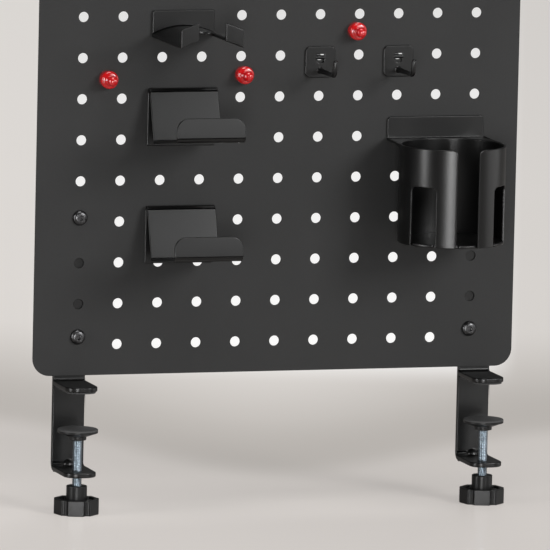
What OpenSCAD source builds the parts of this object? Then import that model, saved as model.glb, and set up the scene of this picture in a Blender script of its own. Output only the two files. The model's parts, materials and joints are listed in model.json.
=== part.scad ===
// Clamp-on desk pegboard: a perforated steel panel on two desk clamps, with hang-in
// accessories and magnetic pins. Millimetres.
// The origin lies on the desk edge: x = 0 is the middle of the panel, y = 0 is the desk's rear
// edge, which the clamps' back plates and the panel's rear face touch, and z = 0 is the desk top.
// The panel faces -y and +z points up.

/* [Panel] */
// Columns of peg holes
columns = 11; // [9:2:13]
// Rows of peg holes
rows = 16; // [12:1:20]
// Distance between peg holes, one inch on a standard pegboard
hole_pitch = 25.4; // [25:0.1:27]
// Diameter of a peg hole
hole_d = 6.35; // [6:0.05:7]
// Thickness of the panel's sheet
panel_t = 1.2; // [0.8:0.1:1.6]
// Distance from the outer hole columns to the panel's sides
side_margin = 28.5; // [22:0.5:34]
// Distance from the first and last hole rows to the panel's ends
end_margin = 19; // [16:0.5:24]
// Radius of the panel's corners
panel_corner_r = 11; // [4:0.5:14]
// Gap between the clamps' upper jaws and the panel's bottom edge
panel_gap = 3; // [1:0.5:6]

/* [Clamp frames] */
// Width of the clamp strips and jaws
strip_w = 20.5; // [18:0.5:24]
// Thickness of the clamp strips and jaws
strip_t = 3; // [2.5:0.5:4]
// Distance from the bolts' line out to the middle of the clamps
clamp_out = 4.5; // [0:0.5:6]
// Reach of the jaws in front of the back plates
jaw_reach = 34; // [32:0.5:44]
// Height between the desk top and the lower jaws' top faces
jaw_opening = 49; // [46:1:70]
// Radius of the jaws' front corners
jaw_corner_r = 8; // [4:0.5:9]
// Inner radius of the bend into the lower jaw
jaw_bend_r = 2; // [1:0.5:4]
// Thickness of the rubber strips under the upper jaws
jaw_pad_t = 1; // [0.6:0.2:2]
// Margin round the rubber strips
jaw_pad_inset = 1; // [0.5:0.5:3]
// Radius of the round weld between the upper jaws and the strips
weld_r = 1.6; // [0.8:0.2:2.4]
// Radius of the stiffening dome in the lower corner
dome_r = 3.6; // [3:0.2:5]

/* [Panel bolts] */
// Height of the lower bolts above the panel's bottom edge
lower_bolt_z = 24; // [22:0.5:28]
// Distance between the lower and the upper bolts
bolt_spacing = 74; // [70:0.5:78]
// Length of strip above the upper bolt
strip_above_bolt = 8; // [6:0.5:12]
// Thread diameter of the bolts
bolt_d = 5; // [4:0.5:6]
// Diameter of the button heads
bolt_head_d = 9.5; // [8.5:0.5:11]
// Height of the button heads
bolt_head_h = 2.75; // [2:0.25:3.5]
// Size of the hexagonal socket across its flats
socket_af = 3; // [2.5:0.5:4]
// Depth of the hexagonal socket
socket_depth = 1.6; // [1:0.1:1.9]
// Size of the nuts across their flats
nut_af = 8; // [7.5:0.5:10]
// Height of the nuts
nut_h = 4; // [3:0.5:5]
// Length of bolt that shows behind the nuts
bolt_end = 1.5; // [0.5:0.5:3]

/* [Clamp screws] */
// Diameter of the clamp screws
screw_d = 6; // [5:0.5:7]
// Distance from the back plates to the screws' axes
screw_out = 21; // [20:0.5:22]
// Desk thickness that the clamps are set to
grip = 23; // [20:0.5:26]
// Diameter of the pressure plates
plate_d = 25; // [22:0.5:30]
// Thickness of the pressure plates' rims
plate_t = 1.4; // [1:0.2:2]
// Height of the dished part below the rims
dish_h = 2; // [1:0.2:3]
// Diameter of the dished part at its lower end
dish_d = 13.5; // [12:0.5:18]
// Thickness of the rubber cushions on the pressure plates
cushion_t = 1; // [0.6:0.2:2]
// Diameter of the pressure plates' hubs
hub_d = 10.7; // [10:0.1:13]
// Height of the pressure plates' hubs below their dished parts
hub_h = 2.5; // [1.5:0.5:5]
// Diameter of the riveted pin that carries a pressure plate
rivet_pin_d = 4.6; // [4:0.1:4.8]
// Diameter of the riveted head above the hub
rivet_head_d = 7.4; // [6.5:0.1:8.5]
// Thickness of the riveted head
rivet_head_t = 0.8; // [0.6:0.1:0.9]
// Length of screw that shows between the lower jaws and the knobs
screw_below = 6.3; // [6:0.1:12]

/* [Knobs] */
// Diameter of the knobs' collars
collar_d = 12.8; // [11:0.1:15]
// Height of the knobs' collars
collar_h = 8; // [5:0.5:12]
// Size of the knobs across opposite faces
knob_af = 26.5; // [24:0.5:32]
// Height of the knobs' grips
knob_h = 9.5; // [8:0.5:14]
// Number of grip faces on a knob
knob_faces = 6; // [5:1:8]
// Angle at which the knobs stand at rest
knob_turn = -17; // [-30:1:30]
// Radius of the grooves between the grip faces
groove_r = 2.6; // [1.5:0.1:3]
// Thickness of the knobs' outer walls
knob_wall = 2.2; // [1.6:0.2:3]
// Thickness of the knobs' floors
knob_floor = 2.5; // [2:0.5:4]
// Thickness of the ribs inside the knobs
rib_t = 1.4; // [1:0.2:2]
// Depth of the ribs below the knobs' rims
rib_drop = 1.5; // [0.5:0.5:3]

/* [Headphone holder] */
// Width of the headphone holder
headphone_w = 40; // [38:0.5:46]
// Reach of the saddle in front of its plate
saddle_reach = 61; // [45:1:64]
// Sheet thickness of the headphone holder
headphone_t = 2; // [1.5:0.1:2.5]
// Height of the plate's top edge above its hole row
headphone_top = 3.8; // [3:0.1:6]
// Height from the plate's top edge down to the crown of the saddle
crown_drop = 9.6; // [9:0.1:12]
// Radius of the saddle's top surface
saddle_r = 42; // [36:1:60]
// Width of the notch between the prongs
notch_w = 17; // [10:0.5:20]
// Depth of the notch between the prongs
notch_depth = 32; // [20:0.5:40]
// Height of the upturned lips
prong_lip_h = 11.2; // [8:0.1:14]
// Corner radius of the headphone holder's plate
headphone_corner_r = 1.5; // [0.5:0.5:3]

/* [Shelves] */
// Width of the shelves
shelf_w = 44; // [42:0.5:50]
// Sheet thickness of the shelves
shelf_t = 1.5; // [1:0.1:2]
// Height of the upper shelf's fold above its hole row
upper_shelf_top = 6.6; // [5:0.1:10]
// Height of the lower shelf's fold above its hole row
lower_shelf_top = 9.8; // [5:0.1:10]
// Height of the shelves' rear plates
shelf_plate_h = 36; // [30:0.5:40]
// Inner radius of the shelves' top folds
shelf_fold_r = 1.2; // [0.8:0.2:2.4]
// Lean of the shelves' inclined backs from the upright, in degrees
shelf_lean = 20; // [12:1:24]
// Length of the shelves' inclined backs
shelf_back_l = 31; // [24:0.5:32]
// Rise of the shelves' trays towards the front, in degrees
tray_rise = 8; // [4:1:16]
// Depth of the shelves' trays
tray_l = 47.5; // [32:0.5:48]
// Inner radius of the shelves' lower bends
shelf_bend_r = 0.6; // [0.6:0.2:2]
// Height of the shelves' front lips
shelf_lip_h = 12.5; // [10:0.5:16]
// Backward lean of the shelves' front lips, in degrees
shelf_lip_lean = 5; // [0:1:10]
// Radius of the front lips' top corners
shelf_lip_r = 7.5; // [4:0.5:9]

/* [Hooks] */
// Width and height of the hook plates
hook_plate = 19.5; // [18:0.5:24]
// Sheet thickness of the hook plates
hook_t = 1.5; // [1:0.1:2]
// Corner radius of the hook plates
hook_corner_r = 3.4; // [2:0.2:5]
// Height of the hook plates' top edges above their hole row
hook_top = 5.7; // [5:0.1:6.5]
// Width of the punched hole that the tongue is bent out of
punch_w = 5; // [4.6:0.1:5.4]
// Height of the punched hole's flat top edge above the hole row
punch_top = 0.8; // [0.4:0.1:1.4]
// Distance from the hole row down to the middle of the punched hole's round end
punch_drop = 2.4; // [2.2:0.1:3]
// Diameter of the hook rods
rod_d = 3; // [2.4:0.1:3.6]
// Distance from the hole row down to the hook rods' axes
rod_drop = 9.4; // [8.5:0.1:11]
// Reach of the hook rods in front of their plates
rod_reach = 29.5; // [20:1:36]
// Bend radius of the hook rods' centre lines
rod_bend_r = 3.2; // [2.4:0.2:5]
// Length of the straight upturned ends
rod_tip_l = 7; // [5:0.5:10]
// Outward lean of the upturned ends, in degrees
rod_tip_lean = 15; // [5:1:25]
// Chamfer round the upturned ends
rod_chamfer = 0.6; // [0.2:0.1:1]

/* [Cup holder] */
// Width of the cup holder's rear plate
cup_plate_w = 63.2; // [60:0.1:68]
// Height of the rear plate's top edge above its hole row
cup_plate_top = 12; // [9:0.1:13]
// Corner radius of the rear plate
cup_plate_r = 2.6; // [1:0.2:5]
// Distance from the hole row down to the rim of the cup
rim_drop = 1.5; // [1.5:0.1:4]
// Outer diameter of the cup
cup_d = 66; // [62:0.5:74]
// Height of the cup
cup_h = 61; // [54:0.5:80]
// Sheet thickness of the cup holder
cup_t = 1.5; // [1:0.1:2]
// Gap between the panel and the back of the cup
cup_stand_off = 2.5; // [2:0.5:8]
// Width of the slot in the front of the cup
slot_w = 13.6; // [10:0.2:18]
// Width of the cup's side windows
window_w = 18; // [14:0.5:20]
// Height of the cup's side windows
window_h = 37; // [30:1:42]
// Angle between the slot and the middle of a side window, in degrees
window_angle = 51; // [48:1:60]
// Corner radius of the slot and windows
window_r = 3.4; // [2:0.2:4.4]
// Thickness of the cup's floor
cup_floor_t = 2; // [1.5:0.1:3]
// Gap at each side of the floor's tabs
tab_gap = 1.5; // [0.5:0.5:3]

/* [Tongues] */
// Width of the tongues that hang in the peg holes
tongue_w = 4.2; // [3:0.1:4.4]
// Thickness of the welded tongues
tongue_t = 2; // [1.5:0.1:2.2]
// Arc radius of the tongues about the line that they unhook round
tongue_r = 22; // [18:1:26]
// Angle of the tongues' arc, by which an accessory is tipped up to unhook it
tongue_turn = 28; // [20:1:30]

/* [Magnetic pins] */
// Diameter of the pins' bases
pin_base_d = 11.2; // [10:0.2:14]
// Height of the pins' straight rims
pin_rim_h = 4.2; // [3.6:0.2:6]
// Overall length of the pins
pin_l = 14; // [12:0.5:18]
// Diameter of the pins' heads
pin_head_d = 6.6; // [5:0.2:7]
// Diameter of the pins' waists
pin_waist_d = 4.6; // [3.6:0.2:4.8]
// Radius of the round edge between a pin's rim and its waist
pin_edge_r = 2; // [1:0.1:3]
// Diameter of the pins' magnets
magnet_d = 8; // [6:0.5:8.5]
// Thickness of the pins' magnets
magnet_t = 3; // [2:0.5:3.4]

/* [Clearances] */
// Gap between a shaft and its hole
running_gap = 0.05; // [0.04:0.01:0.08]
// Gap between welded, glued or screwed pieces on round faces
seat_gap = 0.05; // [0.02:0.01:0.1]
// Gap all round a bolt in its hole
bolt_gap = 0.25; // [0.1:0.05:0.4]
// Gap round a riveted head in its recess
rivet_room = 0.5; // [0.3:0.1:0.6]
// Gap below a tongue in its peg hole
tongue_gap = 0.3; // [0.2:0.05:0.4]

/* [Hidden] */
$fn = 64;
// small step by which a cutting shape runs past the face that it cuts
past = 1;
// length by which a bend laps into the straight beside it
bend_lap = 0.1;
// how much thinner a sheet is in its bends, a rod past its bend and a hook's tongue than its bar
bend_thinning = 0.04;
steel_colour = "#333334";
rubber_colour = "#262627";
plastic_colour = "#1d1d1e";
zinc_colour = "#b9c3cc";
pin_colour = "#c8141a";
magnet_colour = "#9a9ea3";

// The panel stands behind the desk edge, above the upper jaws.
panel_w = (columns - 1) * hole_pitch + 2 * side_margin;
panel_h = (rows - 1) * hole_pitch + 2 * end_margin;
panel_z = jaw_pad_t + strip_t + panel_gap;
function column_x(c) = (c - (columns + 1) / 2) * hole_pitch;
function row_z(k) = panel_z + end_margin + k * hole_pitch;
bolt_x = column_x(columns);
clamp_x = bolt_x + clamp_out;
bolt_z = [panel_z + lower_bolt_z, panel_z + lower_bolt_z + bolt_spacing];
bolt_clear_d = bolt_d + 2 * bolt_gap;
strip_top = bolt_z[1] + strip_above_bolt;

// Hole rows and columns that the accessories hang in, counted from the panel's bottom left
headphone_row = 8;
hook_row = 7;
upper_shelf_row = 6;
cup_row = 5;
lower_shelf_row = 3;
middle_column = (columns + 1) / 2;
shelf_columns = [middle_column - 3, middle_column - 2];
hook_columns = [middle_column + 1, middle_column + 3];
cup_columns = [middle_column + 3, middle_column + 5];
shelf_x = (column_x(shelf_columns[0]) + column_x(shelf_columns[1])) / 2;
cup_x = (column_x(cup_columns[0]) + column_x(cup_columns[1])) / 2;
// Where the magnetic pins stand, counted in holes from the middle column and the first row
pin_places = [[-4.37, 6.48], [-0.94, 6.55], [1.91, 7.59]];

// Clamp screw, pressure plate and knob, from the top down
cushion_z = -grip - cushion_t;
rim_base_z = cushion_z - plate_t;
dish_z = rim_base_z - dish_h;
hub_z = dish_z - hub_h;
rivet_recess = rivet_head_t + 2 * running_gap;
lower_jaw_z = -jaw_opening - strip_t;
collar_z = lower_jaw_z - screw_below;
grip_top_z = collar_z - collar_h;
knob_z = grip_top_z - knob_h;

// A tongue lies low in its hole, with its lower corners on the hole's edge.
function tongue_sit(t) = sqrt(pow(hole_d / 2, 2) - pow(tongue_w / 2, 2)) - t / 2 - tongue_gap;

module ring_sector(r, t, turn) {
    // the part of a flat ring between the upright and its copy turned by the bend's angle
    w = 2 * (r + t);
    intersection() {
        difference() {
            circle(r + t - bend_thinning / 2);
            circle(r + bend_thinning / 2);
        }
        translate([-bend_lap, -w / 2]) square(w);
        rotate(turn) translate([bend_lap - w, -w / 2]) square(w);
    }
}

module bent_strip(t, runs, i = 0) {
    // the side view of a bent sheet: each run is [length, turn that follows it, inner radius]
    turn = runs[i][1];
    side = bend_side(runs[i], t);
    square([runs[i][0], t]);
    if (i + 1 < len(runs)) {
        translate([runs[i][0], side]) {
            ring_sector(runs[i][2], t, turn);
            rotate(turn) translate([0, -side]) bent_strip(t, runs, i + 1);
        }
    }
}

// Where a bend's middle lies across the strip, above it for a left turn and below it for a right one
function bend_side(run, t) = run[1] > 0 ? t + run[2] : -run[2];

module round_rect(w, h, r) {
    // a rectangle with its lower edge's middle at the origin and round corners
    translate([-w / 2 + r, 0]) square([w - 2 * r, h]);
    translate([-w / 2, r]) square([w, h - 2 * r]);
    for (x = [-w / 2 + r, w / 2 - r], y = [r, h - r]) {
        translate([x, y]) circle(r);
    }
}

module round_top(w, h, r) {
    // a rectangle with its lower edge's middle at the origin and round top corners
    translate([-w / 2, 0]) square([w, h - r]);
    translate([-w / 2 + r, 0]) square([w - 2 * r, h]);
    for (x = [-w / 2 + r, w / 2 - r]) {
        translate([x, h - r]) circle(r);
    }
}

module upright(t) {
    // stands a flat outline up, so that it faces -y, with its rear face on the panel's front
    translate([0, -panel_t, 0]) rotate([90, 0, 0]) linear_extrude(t) children();
}

module side_view(w) {
    // stretches an outline drawn in y and z to a width, evenly to both sides
    rotate([90, 0, 90]) linear_extrude(w, center = true) children();
}

module tongue(c, row, t) {
    // bends through a peg hole and up behind the panel, round the line that it unhooks about
    translate([column_x(c), -panel_t, row_z(row) + tongue_r - tongue_sit(t)]) rotate([0, 90, 0])
        rotate_extrude(angle = tongue_turn) translate([tongue_r, 0])
            square([t, tongue_w], center = true);
}

module tongues(cs, row) {
    color(steel_colour) for (c = cs) {
        tongue(c, row, tongue_t);
    }
}

module pegboard_panel() {
    color(steel_colour)
        rotate([90, 0, 0]) linear_extrude(panel_t) difference() {
            translate([0, panel_z]) round_rect(panel_w, panel_h, panel_corner_r);
            for (c = [1:columns], k = [0:rows - 1]) {
                z = row_z(k);
                at_end = c == 1 || c == columns;
                near_bolt = min(abs(z - bolt_z[0]), abs(z - bolt_z[1])) < hole_pitch / 2;
                if (!(at_end && near_bolt)) {
                    translate([column_x(c), z]) circle(d = hole_d);
                }
            }
            for (x = [-bolt_x, bolt_x], z = bolt_z) {
                translate([x, z]) circle(d = bolt_clear_d);
            }
        }
}

module jaw_outline(inset = 0) {
    // a jaw seen from above, from behind the back plate to its round front corners
    half = strip_w / 2 - inset;
    front = jaw_reach - inset;
    r = jaw_corner_r - inset;
    translate([-half, r - front]) square([2 * half, front + strip_t]);
    translate([r - half, -front]) square([2 * (half - r), front]);
    for (x = [r - half, half - r]) {
        translate([x, r - front]) circle(r);
    }
}

module clamp_strip(side) {
    // runs down behind the panel, becomes the back plate and bends into the lower jaw
    bend = jaw_bend_r + strip_t;
    color(steel_colour) translate([side * clamp_x, 0, 0]) difference() {
        union() {
            intersection() {
                side_view(strip_w)
                    translate([strip_t, strip_top]) rotate(-90) mirror([0, 1])
                        bent_strip(strip_t, [
                            [strip_top - lower_jaw_z - bend, 90, jaw_bend_r],
                            [jaw_reach + strip_t - bend, 0, 0],
                        ]);
                translate([0, 0, lower_jaw_z - past])
                    linear_extrude(strip_top - lower_jaw_z + 2 * past) jaw_outline();
            }
            corner_dome();
        }
        translate([0, -screw_out, lower_jaw_z - past])
            cylinder(d = screw_d + 2 * running_gap, h = strip_t + 2 * past);
        for (z = bolt_z) {
            translate([-side * clamp_out, strip_t + past, z]) rotate([90, 0, 0])
                cylinder(d = bolt_clear_d, h = strip_t + 2 * past);
        }
    }
}

module corner_dome() {
    // the pressed dome that stiffens the bend above the lower jaw
    intersection() {
        translate([0, 0, -jaw_opening]) sphere(dome_r);
        translate([-strip_w / 2, strip_t / 2 - strip_w, -jaw_opening - strip_t / 2])
            cube(strip_w);
    }
}

module upper_jaw(side) {
    // a plate welded across the front of the strip, with its weld above
    color(steel_colour) translate([side * clamp_x, 0, jaw_pad_t]) {
        linear_extrude(strip_t) difference() {
            jaw_outline();
            translate([-strip_w, 0]) square(2 * strip_w);
        }
        translate([0, 0, strip_t]) side_view(strip_w) difference() {
            translate([-weld_r, 0]) square(weld_r);
            translate([-weld_r, weld_r]) circle(weld_r);
        }
    }
}

module jaw_pad(side) {
    color(rubber_colour) translate([side * clamp_x, 0, 0]) linear_extrude(jaw_pad_t)
        difference() {
            jaw_outline(jaw_pad_inset);
            translate([-strip_w, -jaw_pad_inset]) square(2 * strip_w);
        }
}

module bolt() {
    // a button-head bolt with its head's underside on the plane z = 0 and its head upwards
    crown_r = (pow(bolt_head_d / 2, 2) + pow(bolt_head_h, 2)) / (2 * bolt_head_h);
    shank = panel_t + strip_t + nut_h + bolt_end;
    difference() {
        rotate_extrude() intersection() {
            translate([0, bolt_head_h - crown_r]) circle(crown_r);
            square([bolt_head_d, bolt_head_h]);
        }
        translate([0, 0, bolt_head_h - socket_depth]) linear_extrude(socket_depth + past)
            circle(d = socket_af / cos(30), $fn = 6);
    }
    translate([0, 0, -shank]) cylinder(d = bolt_d, h = shank);
}

module panel_bolts() {
    color(steel_colour) for (x = [-bolt_x, bolt_x], z = bolt_z) {
        translate([x, -panel_t, z]) rotate([90, 0, 0]) bolt();
    }
}

module panel_nuts() {
    color(zinc_colour) for (x = [-bolt_x, bolt_x], z = bolt_z) {
        translate([x, strip_t + nut_h, z]) rotate([90, 0, 0]) linear_extrude(nut_h)
            difference() {
                circle(d = nut_af / cos(30), $fn = 6);
                circle(d = bolt_d + 2 * seat_gap);
            }
    }
}

module pressure_plate(side) {
    // a dished disc with a hub that turns on the screw's riveted end
    color(plastic_colour) translate([side * clamp_x, -screw_out, 0]) difference() {
        union() {
            translate([0, 0, rim_base_z]) cylinder(d = plate_d, h = plate_t);
            translate([0, 0, dish_z])
                cylinder(d1 = dish_d, d2 = plate_d - plate_t, h = dish_h);
            translate([0, 0, hub_z]) cylinder(d = hub_d, h = cushion_z - hub_z);
        }
        translate([0, 0, hub_z - past])
            cylinder(d = rivet_pin_d + 2 * running_gap, h = cushion_z - hub_z + 2 * past);
        translate([0, 0, cushion_z - rivet_recess])
            cylinder(d = rivet_head_d + 2 * rivet_room, h = rivet_recess + past);
    }
}

module cushion(side) {
    color(rubber_colour) translate([side * clamp_x, -screw_out, cushion_z]) {
        cylinder(d = plate_d, h = cushion_t / 2);
        translate([0, 0, cushion_t / 2])
            cylinder(d1 = plate_d, d2 = plate_d - cushion_t, h = cushion_t / 2);
    }
}

module clamp_screw(side) {
    // threaded rod from the knob's floor to the hub, with its end riveted over the plate
    foot = knob_z + knob_floor;
    pin_top = cushion_z - running_gap - rivet_head_t;
    color(zinc_colour) translate([side * clamp_x, -screw_out, 0]) {
        translate([0, 0, foot]) cylinder(d = screw_d, h = hub_z - foot);
        translate([0, 0, hub_z]) cylinder(d = rivet_pin_d, h = pin_top - hub_z);
        translate([0, 0, pin_top]) cylinder(d = rivet_head_d, h = rivet_head_t);
    }
}

module knob_outline(inset) {
    // faces that bulge a little, with a round groove between each two
    across = knob_af - 2 * inset;
    corner = across / 2 / cos(180 / knob_faces);
    difference() {
        circle(corner, $fn = knob_faces);
        for (i = [0:knob_faces - 1]) {
            rotate(i * 360 / knob_faces) translate([corner, 0]) circle(groove_r);
        }
    }
}

module knob(side) {
    // a hollow grip round a collar, with a rib towards the middle of each face
    pocket = knob_h - knob_floor;
    color(plastic_colour) translate([side * clamp_x, -screw_out, knob_z]) rotate(knob_turn) difference() {
        union() {
            linear_extrude(knob_floor) knob_outline(0);
            translate([0, 0, knob_floor]) linear_extrude(pocket) difference() {
                knob_outline(0);
                knob_outline(knob_wall);
            }
            for (i = [0:knob_faces - 1]) {
                rotate((i + 0.5) * 360 / knob_faces) translate([0, -rib_t / 2, 0])
                    cube([knob_af / 2 - knob_wall / 2, rib_t, knob_h - rib_drop]);
            }
            cylinder(d = collar_d, h = knob_h + collar_h);
        }
        translate([0, 0, knob_floor])
            cylinder(d = screw_d + 2 * seat_gap, h = knob_h + collar_h);
    }
}

// The saddle's crown and its side edges, above the middle of its arc
headphone_z = row_z(headphone_row);
crown_z = headphone_z + headphone_top - crown_drop;
saddle_z = crown_z - saddle_r;
saddle_front = saddle_reach + headphone_t;
function saddle_height(x) = saddle_z + sqrt(saddle_r * saddle_r - x * x);

module headphone_plate() {
    // stands on the saddle's rear end
    color(steel_colour) translate([shelf_x, 0, 0]) difference() {
        upright(headphone_t) translate([0, saddle_height(headphone_w / 2)])
            round_top(headphone_w, headphone_z + headphone_top
                - saddle_height(headphone_w / 2), headphone_corner_r);
        translate([0, past, saddle_z]) rotate([90, 0, 0])
            cylinder(r = saddle_r + seat_gap, h = panel_t + headphone_t + 2 * past);
    }
}

module headphone_saddle() {
    // an arched sheet with two prongs, each with an upturned lip
    notch_rear = -panel_t - saddle_front + notch_depth;
    color(steel_colour) translate([shelf_x, 0, 0]) difference() {
        union() {
            intersection() {
                translate([0, -panel_t, saddle_z]) rotate([90, 0, 0])
                    linear_extrude(saddle_front) difference() {
                        circle(saddle_r);
                        circle(saddle_r - headphone_t);
                    }
                translate([-headphone_w / 2, -panel_t - saddle_front, saddle_z])
                    cube([headphone_w, saddle_front, saddle_r]);
            }
            for (s = [-1, 1]) {
                prong_lip(s);
            }
        }
        translate([0, notch_rear - notch_w / 2, saddle_z]) {
            cylinder(d = notch_w, h = saddle_r + prong_lip_h);
            translate([-notch_w / 2, -saddle_front, 0])
                cube([notch_w, saddle_front, saddle_r + prong_lip_h]);
        }
    }
}

module prong_lip(s) {
    // its bottom and top edges both follow the slope of its prong
    inner = s * notch_w / 2;
    outer = s * headphone_w / 2;
    low = headphone_t / 2;
    translate([0, -panel_t - saddle_reach, 0]) rotate([90, 0, 0]) linear_extrude(headphone_t)
        polygon([
            [inner, saddle_height(inner) - low],
            [outer, saddle_height(outer) - low],
            [outer, saddle_height(outer) + prong_lip_h - headphone_t],
            [inner, saddle_height(inner) + prong_lip_h - headphone_t],
        ]);
}

// The shelf's side view runs up the panel, folds over and leans out to the tray and its lip.
shelf_top_bend = shelf_fold_r + shelf_t;
shelf_runs = [
    [shelf_plate_h - shelf_top_bend, 180 - shelf_lean, shelf_fold_r],
    [shelf_back_l, -(90 - shelf_lean + tray_rise), shelf_bend_r],
    [tray_l, -(90 - tray_rise + shelf_lip_lean), shelf_bend_r],
    [shelf_lip_h, 0, 0],
];

module shelf(row, top) {
    color(steel_colour)
        translate([shelf_x, -panel_t, row_z(row) + top - shelf_plate_h]) difference() {
            side_view(shelf_w) rotate(90) bent_strip(shelf_t, shelf_runs);
            for (s = [-1, 1]) {
                lip_corner(s);
            }
        }
}

module lip_corner(s) {
    // what is cut off a lip's top corner to make it round
    r = shelf_lip_r;
    // the lip's own upright, taken from the turns before it
    lip_turn = 90 + shelf_runs[0][1] + shelf_runs[1][1] + shelf_runs[2][1];
    lip_top = strip_point(3, shelf_lip_h, shelf_t / 2);
    translate([s * (shelf_w / 2 - r), lip_top[0], lip_top[1]])
        rotate([lip_turn, 0, 0])
            linear_extrude(shelf_t + 2 * past, center = true) difference() {
                translate([s > 0 ? 0 : -r - past, -r]) square(r + past);
                translate([0, -r]) circle(r);
            }
}

// A point of the shelf's side view, from a run's number, the way along it and the way across it
function strip_point(n, along, across) =
    let (back = [for (i = n - 1; i >= 0; i = i - 1) shelf_runs[i]])
    turn_point(unbent([along, across], back, 0), 90);
function unbent(p, back, i) = i == len(back) ? p
    : let (side = bend_side(back[i], shelf_t), q = turn_point([p[0], p[1] - side], back[i][1]))
    unbent([q[0] + back[i][0], q[1] + side], back, i + 1);
function turn_point(p, a) = [p[0] * cos(a) - p[1] * sin(a), p[0] * sin(a) + p[1] * cos(a)];

// A hook's tongue is cut from its plate, so it is as thick as the plate.
hook_z = row_z(hook_row);

module hook_plate(c) {
    // a square plate with a tongue bent back from a bar across its punched hole
    color(steel_colour) {
        translate([column_x(c), 0, hook_z]) upright(hook_t) difference() {
            translate([0, hook_top - hook_plate])
                round_rect(hook_plate, hook_plate, hook_corner_r);
            punched_hole();
        }
        tongue(c, hook_row, hook_t);
    }
}

module punched_hole() {
    // flat at the top and round at the bottom, with the bar left across it
    bar_h = hook_t + bend_thinning;
    difference() {
        union() {
            translate([0, -punch_drop]) circle(d = punch_w);
            translate([-punch_w / 2, -punch_drop]) square([punch_w, punch_drop + punch_top]);
        }
        translate([-punch_w, -tongue_sit(hook_t) - bar_h / 2]) square([2 * punch_w, bar_h]);
    }
}

module hook_rod(c) {
    // a rod welded to the plate, with an upturned end
    turn = 90 - rod_tip_lean;
    straight = rod_reach - rod_bend_r;
    tip_d = rod_d - bend_thinning;
    color(steel_colour) translate([column_x(c), -panel_t - hook_t, hook_z - rod_drop]) {
        rotate([90, 0, 0]) cylinder(d = rod_d, h = straight);
        translate([0, -straight, rod_bend_r]) {
            rotate([0, 90, 0]) mirror([0, 1, 0]) rotate_extrude(angle = turn)
                translate([rod_bend_r, 0]) circle(d = rod_d);
            rotate([-turn, 0, 0]) translate([0, bend_lap, -rod_bend_r]) rotate([90, 0, 0]) {
                cylinder(d = tip_d, h = rod_tip_l + bend_lap);
                translate([0, 0, rod_tip_l + bend_lap])
                    cylinder(d1 = tip_d, d2 = tip_d - 2 * rod_chamfer, h = rod_chamfer);
            }
        }
    }
}

// The cup stands in front of its plate, with its rim level with the flange.
cup_r = cup_d / 2;
cup_y = -panel_t - cup_stand_off - cup_r;
rim_z = row_z(cup_row) - rim_drop;
cup_base_z = rim_z - cup_h;
cup_inner_r = cup_r - cup_t;
cup_plate_h = cup_plate_top + rim_drop;

module cup_bracket() {
    // the rear plate, and the flange whose sides run on into the cup
    half = cup_plate_w / 2;
    run_out = -cup_y - panel_t;
    // where a line from the plate's corner touches the cup
    reach = sqrt(half * half + run_out * run_out);
    touch = atan2(run_out, half) - acos(cup_r / reach);
    color(steel_colour) translate([cup_x, 0, 0]) difference() {
        union() {
            translate([0, 0, rim_z - cup_t]) upright(cup_t)
                round_top(cup_plate_w, cup_plate_h + cup_t, cup_plate_r);
            translate([0, -panel_t, rim_z - cup_t]) linear_extrude(cup_t)
                polygon([
                    [-half, 0],
                    [half, 0],
                    [cup_r * cos(touch), -run_out + cup_r * sin(touch)],
                    [0, -run_out],
                    [-cup_r * cos(touch), -run_out + cup_r * sin(touch)],
                ]);
        }
        translate([0, cup_y, rim_z - cup_t - past])
            cylinder(r = cup_r + seat_gap, h = cup_t + 2 * past);
    }
}

module cup_opening(angle, w, h) {
    // cuts a window with round top corners through the wall, seen from the cup's middle
    translate([cup_x, cup_y, cup_base_z - past]) rotate([0, 0, angle]) rotate([90, 0, 0])
        linear_extrude(cup_d) round_top(w, h + past, window_r);
}

module cup_shell() {
    color(steel_colour) difference() {
        translate([cup_x, cup_y, cup_base_z]) cylinder(r = cup_r, h = cup_h);
        translate([cup_x, cup_y, cup_base_z - past])
            cylinder(r = cup_inner_r, h = cup_h + 2 * past);
        for (s = [-1, 1]) {
            cup_opening(s * window_angle, window_w, window_h);
        }
        translate([cup_x, cup_y, cup_base_z - past]) rotate([90, 0, 0])
            linear_extrude(cup_d) translate([-slot_w / 2, 0]) square([slot_w, cup_h + 2 * past]);
        for (s = [-1, 1]) {
            slot_corner(s);
        }
    }
}

module slot_corner(s) {
    // what is cut off the wall's top corner beside the front slot
    r = window_r;
    translate([cup_x + s * slot_w / 2, cup_y, rim_z]) rotate([90, 0, 0])
        linear_extrude(cup_d) difference() {
            translate([s > 0 ? -past : -r, -r]) square([r + past, r + past]);
            translate([s * r, -r]) circle(r);
        }
}

module cup_floor() {
    // a disc inside the wall, with a tab out into the slot and into each window
    color(steel_colour) translate([cup_x, cup_y, cup_base_z]) linear_extrude(cup_floor_t) {
        circle(cup_inner_r - seat_gap);
        floor_tab(0, slot_w);
        floor_tab(-window_angle, window_w);
        floor_tab(window_angle, window_w);
    }
}

module floor_tab(angle, opening_w) {
    w = opening_w - 2 * tab_gap;
    intersection() {
        circle(cup_r);
        rotate(angle) translate([-w / 2, -cup_d]) square([w, cup_d]);
    }
}

module at_pin(i) {
    // puts a shape that stands up from z = 0 on the panel's front
    translate([pin_places[i][0] * hole_pitch, -panel_t, row_z(pin_places[i][1])])
        rotate([90, 0, 0]) children();
}

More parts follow.
